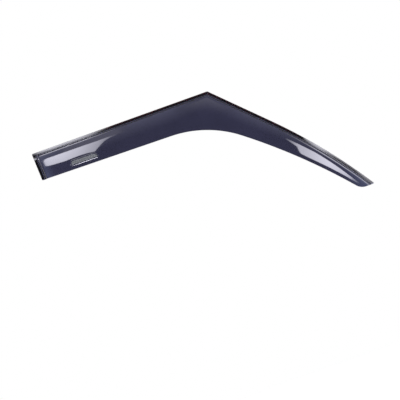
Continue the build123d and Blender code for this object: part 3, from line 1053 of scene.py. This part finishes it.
def grained(start, pattern, cloudy, dulled_by, colours, shares, limits, roughness, relief, **values):
    """A surface whose colour follows a pattern and a clouding, each by its share."""
    mixed = pattern * shares[0] + cloudy * shares[1]
    inputs = {
        "Base Color": mixed.between(*limits).mix(*colours),
        "Roughness": roughness[0] + dulled_by * roughness[1],
        "Normal": pattern.relief(*relief),
    }
    start.surface("ShaderNodeBsdfPrincipled", inputs | values)


def foam_tape():
    """Bubbles from a fine cell pattern."""
    material, start = new_material("foam_tape")
    where = start.place()
    bubbles = start.add("ShaderNodeTexVoronoi", {"Vector": where, "Scale": BUBBLE_SCALE}, "Distance")
    cloudy = where.noise(*FOAM_CLOUDS)
    grained(start, bubbles, cloudy, cloudy, **FOAM)
    return material


def red_film():
    """Stretch lines drawn out along the strips, and a soft gloss."""
    material, start = new_material("red_film")
    where = start.place()
    lines = where.squeezed(FILM_SQUEEZE).noise(*FILM_LINES)
    grained(start, lines, where.noise(FILM_CLOUDS), lines, **FILM)
    return material


def satin_metal():
    """Brush lines along the plate, over a faint clouding."""
    material, start = new_material("satin_plate")
    where = start.place()
    lines = where.squeezed(BRUSH_SQUEEZE).noise(*BRUSH_LINES)
    grained(start, lines, where.noise(PLATE_CLOUDS), lines, **PLATE)
    return material


def finish_nodes(ending, material):
    """Gives every CAD node whose name has this ending one material."""
    done = [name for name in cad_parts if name.endswith(ending)]
    for name in done:
        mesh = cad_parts[name].data
        mesh.materials.clear()
        mesh.materials.append(material)
    print(material.name, "on", ", ".join(sorted(done)))


finish_nodes("_tape", foam_tape())
finish_nodes("_liner", red_film())
finish_nodes("badge_plate", satin_metal())

# %% [markdown]
# ## Camera
#
# The camera looks straight at the outside of the part from far off, with a long lens, and is rolled so that
# the roof edge climbs to the right. It could be tried by eye, but how far one pixel reaches on the part
# fixes the width of the view, and the distance then fixes the lens. No shift is needed, because the camera
# is aimed at the middle of the picture.

# %% Camera
PICTURE_SIZE = 400
PIXEL_MM = 2.44
ROLL = 19.73
PEAK_PIXEL = np.array([206.7, 90.8])
PIXEL_CENTRE = 0.5
CAMERA_DISTANCE = 6000.0
SENSOR = 36.0
CLIP_END = 100.0

rolled = np.radians(ROLL)
across, down = PICTURE_SIZE / 2 - PIXEL_CENTRE - PEAK_PIXEL
forwards = np.cos(rolled) * across - np.sin(rolled) * down
up = -np.sin(rolled) * across - np.cos(rolled) * down
view_centre = np.array([forwards, up]) * PIXEL_MM
camera_place = stand_up(view_centre, CAMERA_DISTANCE)
camera_data = bpy.data.cameras.new("camera")
camera_data.sensor_width = SENSOR
camera_data.lens = SENSOR * CAMERA_DISTANCE / (PICTURE_SIZE * PIXEL_MM)
camera_data.clip_end = CLIP_END
camera = new_piece("camera", camera_data)
right = (np.cos(rolled), 0.0, -np.sin(rolled))
upwards = (np.sin(rolled), 0.0, np.cos(rolled))
backwards = (0.0, -1.0, 0.0)
rows = np.stack([right, upwards, backwards, camera_place], 1)
camera.matrix_world = Matrix([*rows, (0, 0, 0, 1)])
bpy.context.scene.camera = camera
print("lens", round(camera_data.lens, 1), "mm at", camera_place.round(3))

# %% [markdown]
# ## Softboxes where their reflections say
#
# A gloss surface shows the studio. The pale panels on both arms are softboxes, and a mirror law says where
# they stood: take a point of the panel, find the skin's slope there, reflect the line of sight and follow it
# out to a plane in front of the part. Lamps could be moved by hand until they look right, but this way each
# card gets the outline that gives the wanted reflection, and it lights the part like a real softbox. How
# bright a reflection looks, divided by the share of light that the gloss throws back, is how much the card
# has to glow.

# %% Where a reflection comes from
CARD_STANDOFF = 900.0
SLOPE_STEP = 0.5
SIGHT_TRIES = 4


def unit(vector):
    """A vector divided by its length."""
    return vector / np.linalg.norm(vector, axis=-1, keepdims=True)


def skin_normal(plan):
    """Square to the skin, from how much its height changes over a small step each way."""
    step = np.eye(2) * SLOPE_STEP
    slope = [(skin(plan + way) - skin(plan - way)) / (2 * SLOPE_STEP) for way in step]
    return unit(np.stack([-slope[0], -slope[1], np.ones_like(slope[0])], -1))


def flange_level(plan):
    """The flange is one thickness high all over."""
    return np.full(plan.shape[:-1], FLANGE_THICKNESS)


def flange_normal(plan):
    """It faces straight out of the door."""
    return np.broadcast_to(np.array([0.0, 0.0, 1.0]), plan.shape[:-1] + (3,))


def lip_level(plan):
    """The lip's middle, half as deep as the recess floor."""
    return skin(plan, floor_depth / 2)


def lip_normal(plan):
    """The skin's normal, leaning uphill by the slope of the recess's lip on top."""
    lean = np.arctan2(floor_depth, RECESS_SLOPE)
    return unit(skin_normal(plan) * np.cos(lean) + np.append(uphill(0.0), 0.0) * np.sin(lean))


def mirrored(flat, height_of, normal_of):
    """Reflects the line of sight through each place of the drawing, and follows it out to the cards' plane.

    The line of sight narrows towards the camera, so the point it meets lies a little nearer to the middle.
    """
    plan = flat
    for _ in range(SIGHT_TRIES):
        plan = view_centre + (flat - view_centre) * (1 - height_of(plan) / CAMERA_DISTANCE)[..., None]
    height = height_of(plan)
    normal = normal_of(plan)
    point = np.concatenate([plan, height[..., None]], -1)
    sight = unit(point - np.append(view_centre, CAMERA_DISTANCE))
    bounced = sight - 2 * dot(sight, normal)[..., None] * normal
    hit = point + bounced * ((CARD_STANDOFF - height) / bounced[..., 2])[..., None]
    return hit[..., :2]


print("the peak mirrors", mirrored(np.zeros(2), flange_level, flange_normal).round(), "on the cards' plane")

# %% [markdown]
# ## A card
#
# A real softbox is a lamp behind a white cloth. An area lamp could stand for it, but it has a plain outline
# and one brightness. A sheet that glows by a number kept in each of its points can have any outline and fade
# towards its edges, and where it hardly glows it lets the room behind it show.

# %% A glowing card
GLOSS_REFLECTS = 0.157
CARD_FADE = 0.45
PANEL_TINT = (0.90, 0.89, 1.0)


def card_light(name):
    """Glows by the points' own levels, and is clear where it hardly glows."""
    material, start = new_material(name)
    glow = start.attribute("glow")
    colour = start.add("ShaderNodeVectorMath", {0: PANEL_TINT, "Scale": glow}, operation="SCALE")
    emission = start.add("ShaderNodeEmission", {"Color": colour})
    clear = start.add("ShaderNodeBsdfTransparent")
    start.surface("ShaderNodeMixShader", {0: glow.between(0.0, CARD_FADE), 1: clear, 2: emission})
    return material


def card(name, plan, look):
    """A glowing sheet, which shows in gloss, but not to the camera or through the acrylic."""
    mesh = bpy.data.meshes.new(name)
    grid = stand_up(plan, np.full(plan.shape[:-1], CARD_STANDOFF))
    glow = look / GLOSS_REFLECTS
    mesh.from_pydata(grid.reshape(-1, 3), [], grid_quads(*grid.shape[:2]).tolist())
    mesh.attributes.new("glow", "FLOAT", "POINT").data.foreach_set("value", glow.ravel())
    mesh.materials.append(card_light(name))
    piece = new_piece(name, mesh)
    piece.visible_camera = False
    piece.visible_shadow = False
    piece.visible_transmission = False
    print(name, "spans", np.ptp(plan.reshape(-1, 2), axis=0).round(), "mm, glows up to", glow.max().round(1))


print("a card has to glow", round(1 / GLOSS_REFLECTS, 1), "times as bright as it should look")

# %% [markdown]
# ## The panels
#
# Each panel is given by a few rows: how far along the arm, where the panel starts and ends across it, and
# how bright it looks there. Numbers for every row could be read off, but a few rows with even changes
# between them are enough. The cards have soft edges, as a softbox has, and some are dimmer towards the lower
# edge of the part. Besides the two bright panels there are two faint ones, a glow under the peak and a grey
# band along the roof ridge, which stand for light walls farther off.

# %% Panels on the skin
SOFT_EDGE = 0.07
PANEL_SHARES = np.array([0, SOFT_EDGE, 0.3, 0.5, 0.7, 1 - SOFT_EDGE, 1])
PANEL_FADES = np.array([0, 1, 1, 1, 1, 1, 0])
PANEL_STEPS = 70
LEFT_START = np.array([-449.8, 1.1])
LEFT_HEADING = 0.0
LEFT_DIMMING = 0.18
LEFT_PANEL = [
    (16.3, 27.5, 38.3, 0.48), (19, 23.8, 41.2, 0.54), (23, 22.8, 42.3, 0.57), (34, 22.6, 43.3, 0.60),
    (65, 22.7, 45.2, 0.59), (101, 23.0, 44.0, 0.52), (124, 23.1, 45.0, 0.44), (137, 23.3, 47.0, 0.39),
    (143, 23.4, 47.6, 0.375), (150, 23.7, 42.8, 0.355), (158, 23.9, 38.2, 0.34), (173, 24.0, 30.3, 0.275),
    (189, 24.2, 27.1, 0.16), (214, 24.2, 26.6, 0.0),
]
RIGHT_START = np.array([142.3, -147.4])
RIGHT_HEADING = 49.9
RIGHT_DIMMING = 0.06
RIGHT_PANEL = [
    (16, 16.3, 18.0, 0.0), (28, 15.2, 18.9, 0.16), (39, 14.3, 19.6, 0.26), (53, 12.9, 20.6, 0.40),
    (63, 12.1, 27.8, 0.46), (70, 11.4, 31.4, 0.45), (97, 9.7, 29.3, 0.53), (117, 10.0, 27.5, 0.59),
    (141, 11.1, 25.4, 0.645), (165, 12.9, 24.1, 0.60), (184, 14.9, 23.2, 0.55), (204, 17.6, 23.1, 0.40),
    (214, 18.8, 22.9, 0.20), (230, 19.8, 23.4, 0.0),
]
PEAK_DIMMING = 1.0
PEAK_GLOW = [
    (-90, 52, 60, 0.0), (-60, 39, 66, 0.035), (-30, 26, 66, 0.055), (0, 12, 66, 0.065),
    (30, 26, 66, 0.055), (60, 39, 66, 0.035), (90, 52, 60, 0.0),
]
ROOF_BAND = [
    (40, 13.5, 24, 0.0), (75, 13.5, 24, 0.056), (150, 13.5, 24, 0.060), (210, 13.5, 26, 0.056),
    (250, 14, 30, 0.0),
]


def evenly(rows, count):
    """The rows of a list, spread evenly over its whole run: places, and a column of values for each."""
    along, *columns = np.array(rows, float).T
    places = np.linspace(along[0], along[-1], count)
    return places, [np.interp(places, along, values)[:, None] for values in columns]


def panel_card(name, start, angle, rows, dimming=0.0):
    """Across the arm the card goes from its near to its far edge, with soft edges."""
    places, (near, far, look) = evenly(rows, PANEL_STEPS)
    down = near + (far - near) * PANEL_SHARES
    flat = start + heading(angle) * places[:, None, None] - uphill(angle) * down[..., None]
    card(name, mirrored(flat, skin, skin_normal), look * (PANEL_FADES * (1 - dimming * PANEL_SHARES)))


panel_card("left_softbox", LEFT_START, LEFT_HEADING, LEFT_PANEL, LEFT_DIMMING)
panel_card("right_softbox", RIGHT_START, RIGHT_HEADING, RIGHT_PANEL, RIGHT_DIMMING)
panel_card("peak_softbox", np.zeros(2), PILLAR_ANGLE / 2, PEAK_GLOW, PEAK_DIMMING)
panel_card("roof_band", LEFT_START, LEFT_HEADING, ROOF_BAND)

# %% [markdown]
# ## Light on the flange
#
# The flat flange mirrors what hangs straight in front of it, so its cards are strips with the run of the
# edge, given by how bright they look at three places across. A third, short one lights the break in the
# tape. One large card for all of it would be simpler, but the edge is bright only in parts. They hang in the
# plane of the panels.

# %% Strips for the flange
STRIP_MARGIN = 12.0
STRIP_STEPS = 60
LOOK_PLACES = (1.3, 3.8, 6.2)
FLANGE_PLACES = np.array([-STRIP_MARGIN, *LOOK_PLACES, LOOK_PLACES[-1] + STRIP_MARGIN])
LEFT_FLANGE = [
    (-456, 0.22, 0.02, 0.0), (-447, 0.26, 0.06, 0.0), (-440, 0.42, 0.28, 0.0), (-425, 0.53, 0.42, 0.0),
    (-400, 0.59, 0.50, 0.0), (-350, 0.54, 0.47, 0.04), (-320, 0.45, 0.41, 0.09), (-300, 0.36, 0.31, 0.09),
    (-287, 0.32, 0.15, 0.0), (-275, 0.24, 0.02, 0.0), (-262, 0.10, 0.0, 0.0), (-245, 0.0, 0.0, 0.0),
]
RIGHT_FLANGE = [
    (258, 0.0, 0.0, 0.0), (270, 0.42, 0.12, 0.0), (290, 0.54, 0.38, 0.12), (310, 0.55, 0.44, 0.20),
    (330, 0.42, 0.22, 0.04), (350, 0.35, 0.06, 0.0), (375, 0.26, 0.0, 0.0), (410, 0.24, 0.0, 0.0),
    (430, 0.38, 0.12, 0.0), (445, 0.30, 0.16, 0.10), (470, 0.20, 0.16, 0.12),
]
GAP_ROWS = [(12.4, 0.30, 0.32, 0.40), (15.6, 0.30, 0.32, 0.40)]


def roof_places(forwards):
    """Points and headings of the roof edge, as pillar_edge gives them for the pillar."""
    return np.stack([forwards, np.zeros_like(forwards)], -1), np.zeros_like(forwards)


def rear_places(down):
    """The same for the rear end."""
    return REAR_TOP + REAR_DOWN * down[:, None], np.full_like(down, 270 - REAR_LEAN)


def flange_card(name, edge_of, rows):
    """A strip over the flange and a margin each side."""
    places, looks = evenly(rows, STRIP_STEPS)
    edge_points, angle = edge_of(places)
    flat = edge_points[:, None] - uphill(angle)[:, None] * FLANGE_PLACES[:, None]
    card(name, mirrored(flat, flange_level, flange_normal), np.hstack([looks[0], *looks, looks[-1]]))


flange_card("left_flange_card", roof_places, LEFT_FLANGE)
flange_card("right_flange_card", pillar_edge, RIGHT_FLANGE)
flange_card("gap_card", rear_places, GAP_ROWS)

# %% [markdown]
# ## Light along the ridge and on the recess's lip
#
# The rounded ridge squeezes a wide piece of the room into a line. A thin pale line could be painted on, but
# it would not move with the view. So the ridge gets strips that start where the first two millimetres of the
# skin reflect, and rise from there. The one for the rear end hangs farther out, so that its line lies on the
# ridge. Last, a small card gives the bright line on the sloped lip below the plate.

# %% Strips for the ridge, and a card for the lip
RIDGE_REACH = 13.2
RIDGE_SOFT = 2.0
RIDGE_RISE = 700.0
LEFT_RIDGE = [
    (-450, 0.36), (-440, 0.34), (-420, 0.39), (-330, 0.34), (-300, 0.24), (-270, 0.14), (-240, 0.07),
    (-200, 0.0),
]
RIGHT_RIDGE = [
    (190, 0.0), (240, 0.10), (260, 0.15), (280, 0.22), (300, 0.35), (325, 0.40), (360, 0.37), (400, 0.33),
    (467, 0.29),
]
REAR_RIDGE = [(9, 0.0), (11, 1.3), (16, 0.85), (19, 0.13), (68, 0.15)]
REAR_OUTWARDS = 260.0
LIP_LOOK = 1.6
LIP_MARGIN = 6.0


def ridge_card(name, edge_of, rows, outwards=0.0):
    """A strip that rises from where the skin next to the ridge reflects, with a soft lower side."""
    places, (look,) = evenly(rows, STRIP_STEPS)
    edge_points, angle = edge_of(places)
    below = np.array([RIDGE_REACH, RIDGE_REACH - RIDGE_SOFT])
    flat = edge_points[:, None] - uphill(angle)[:, None] * below[:, None]
    low = mirrored(flat, skin, skin_normal) + uphill(angle)[:, None] * outwards
    high = low[:, 1:] + uphill(angle)[:, None] * RIDGE_RISE
    card(name, np.concatenate([low, high], 1), look * np.array([0.0, 1.0, 1.0]))


def lip_card():
    """A small card for the lower side of the recess's lip, a margin larger than the lip's reflection."""
    from_foot = plate_outline(RECESS_MARGIN - RECESS_SLOPE / 2) - badge_foot
    along = dot(from_foot, heading(badge_droop))
    low = dot(from_foot, uphill(badge_droop)).min()
    places = np.linspace(along.min() + LIP_MARGIN / 2, along.max() - LIP_MARGIN, STRIP_STEPS)
    levels = low + np.array([-LIP_MARGIN, LIP_MARGIN]) / 4
    flat = badge_foot + heading(badge_droop) * places[:, None, None] + uphill(badge_droop) * levels[:, None]
    spots = mirrored(flat, lip_level, lip_normal)
    card("lip_card", spots, np.full(spots.shape[:2], LIP_LOOK))


ridge_card("left_ridge_card", roof_places, LEFT_RIDGE)
ridge_card("right_ridge_card", pillar_edge, RIGHT_RIDGE)
ridge_card("rear_ridge_card", rear_places, REAR_RIDGE, REAR_OUTWARDS)
lip_card()

# %% [markdown]
# ## Floor
#
# The floor is a pale sheet well below the part, where it catches its soft shadow. More light could make it
# white, but would wash out the part, so it gets a faint glow that only the camera and the view through the
# acrylic see.

# %% Floor
FLOOR_DROP = 0.55
FLOOR_SIZE = 4.0
FLOOR_POINTS = 9
FLOOR_COLOUR = (0.93, 0.93, 0.93, 1.0)
FLOOR_LIFT = 0.25


def rays_of(start):
    """Shares of rays that see the backdrop, straight or through the acrylic, and that come from gloss."""
    rays = start.add("ShaderNodeLightPath").socket.node.outputs
    straight, through, gloss = (
        Shade(start.tree, rays[f"Is {kind} Ray"]) for kind in ("Camera", "Transmission", "Glossy")
    )
    return straight + through, gloss


def pale_floor():
    """Plain pale paint, lifted a little where the backdrop is seen."""
    material, start = new_material("pale_floor")
    seen, _ = rays_of(start)
    lit = start.add("ShaderNodeBsdfDiffuse", {"Color": FLOOR_COLOUR})
    lift = start.add("ShaderNodeEmission", {"Color": FLOOR_COLOUR, "Strength": seen * FLOOR_LIFT})
    start.surface("ShaderNodeAddShader", {0: lit, 1: lift})
    return material


floor_level = cad_box[0][2] - FLOOR_DROP
ends = np.linspace(-FLOOR_SIZE / 2, FLOOR_SIZE / 2, FLOOR_POINTS)
floor_plan = np.meshgrid(ends, ends, indexing="ij")
floor_grid = np.stack([*floor_plan, np.full_like(floor_plan[0], floor_level)], -1)
floor = new_piece("floor", mesh_of_grids("floor", [(floor_grid, OUTSIDE, 0.0)]))
floor.data.materials.append(pale_floor())
print("floor at", round(floor_level, 3), "m")

# %% [markdown]
# ## Room and lamp
#
# The picture's background is plain white, so the room is white to the camera and through the acrylic. In
# reflections it is dimmer, as a studio with dark flags round the camera is, because a smoked gloss part
# turns grey in an all-white room: darkest straight ahead, lighter to the sides, and darker again below and
# behind. A picture of a studio could give such reflections, but a few levels by direction do. One broad lamp
# overhead makes the shadow.

# %% Room and lamp
WHITE = (1.0, 1.0, 1.0, 1.0)
REFLECTED_TINT = (0.74, 0.76, 1.0, 1.0)
ROOM_LIGHT = 0.75
AHEAD_LEVELS = (0.72, 0.915, 0.40, 0.056)
WIDER_LEVELS = (0.45, 0.72, 0.8, 1.0)
BEHIND_LEVELS = (-0.6, 0.1, 0.15, 1.0)
BELOW_LEVELS = (-0.75, -0.45, 0.2, 1.0)
LAMP_SIZE = 1.6
LAMP_POWER = 30.0
LAMP_PLACE = (0.1, -0.6, 1.8)
LAMP_TILT = -18.0


def light_room(world):
    """White where the backdrop is seen, a level by direction in reflections, and even light otherwise."""
    world.use_nodes = True
    world.node_tree.nodes.clear()
    room = Shade(world.node_tree)
    seen, gloss = rays_of(room)
    in_gloss = gloss * (1 - seen)
    direction = room.add("ShaderNodeTexCoord", None, "Generated")
    ahead = -1 * direction.axis("Y")
    wider = ahead.between(*WIDER_LEVELS) * ahead.between(*BEHIND_LEVELS)
    below = direction.axis("Z").between(*BELOW_LEVELS)
    reflected = ahead.between(*AHEAD_LEVELS, "LINEAR") * wider * below
    level = seen + in_gloss * reflected + (1 - seen) * (1 - in_gloss) * ROOM_LIGHT
    colour = in_gloss.mix(WHITE, REFLECTED_TINT)
    back = room.add("ShaderNodeBackground", {"Color": colour, "Strength": level})
    room.add("ShaderNodeOutputWorld", {"Surface": back})


world = bpy.data.worlds.new("room")
bpy.context.scene.world = world
light_room(world)
lamp_data = bpy.data.lights.new("overhead", "AREA")
lamp_data.shape = "DISK"
lamp_data.size = LAMP_SIZE
lamp_data.energy = LAMP_POWER
lamp = new_piece("overhead", lamp_data)
lamp.location = LAMP_PLACE
lamp.rotation_euler = (np.radians(LAMP_TILT), 0, 0)
lamp.visible_glossy = False
bpy.context.scene.view_settings.view_transform = "Standard"
print("room", world.name, "and lamp", lamp.name)
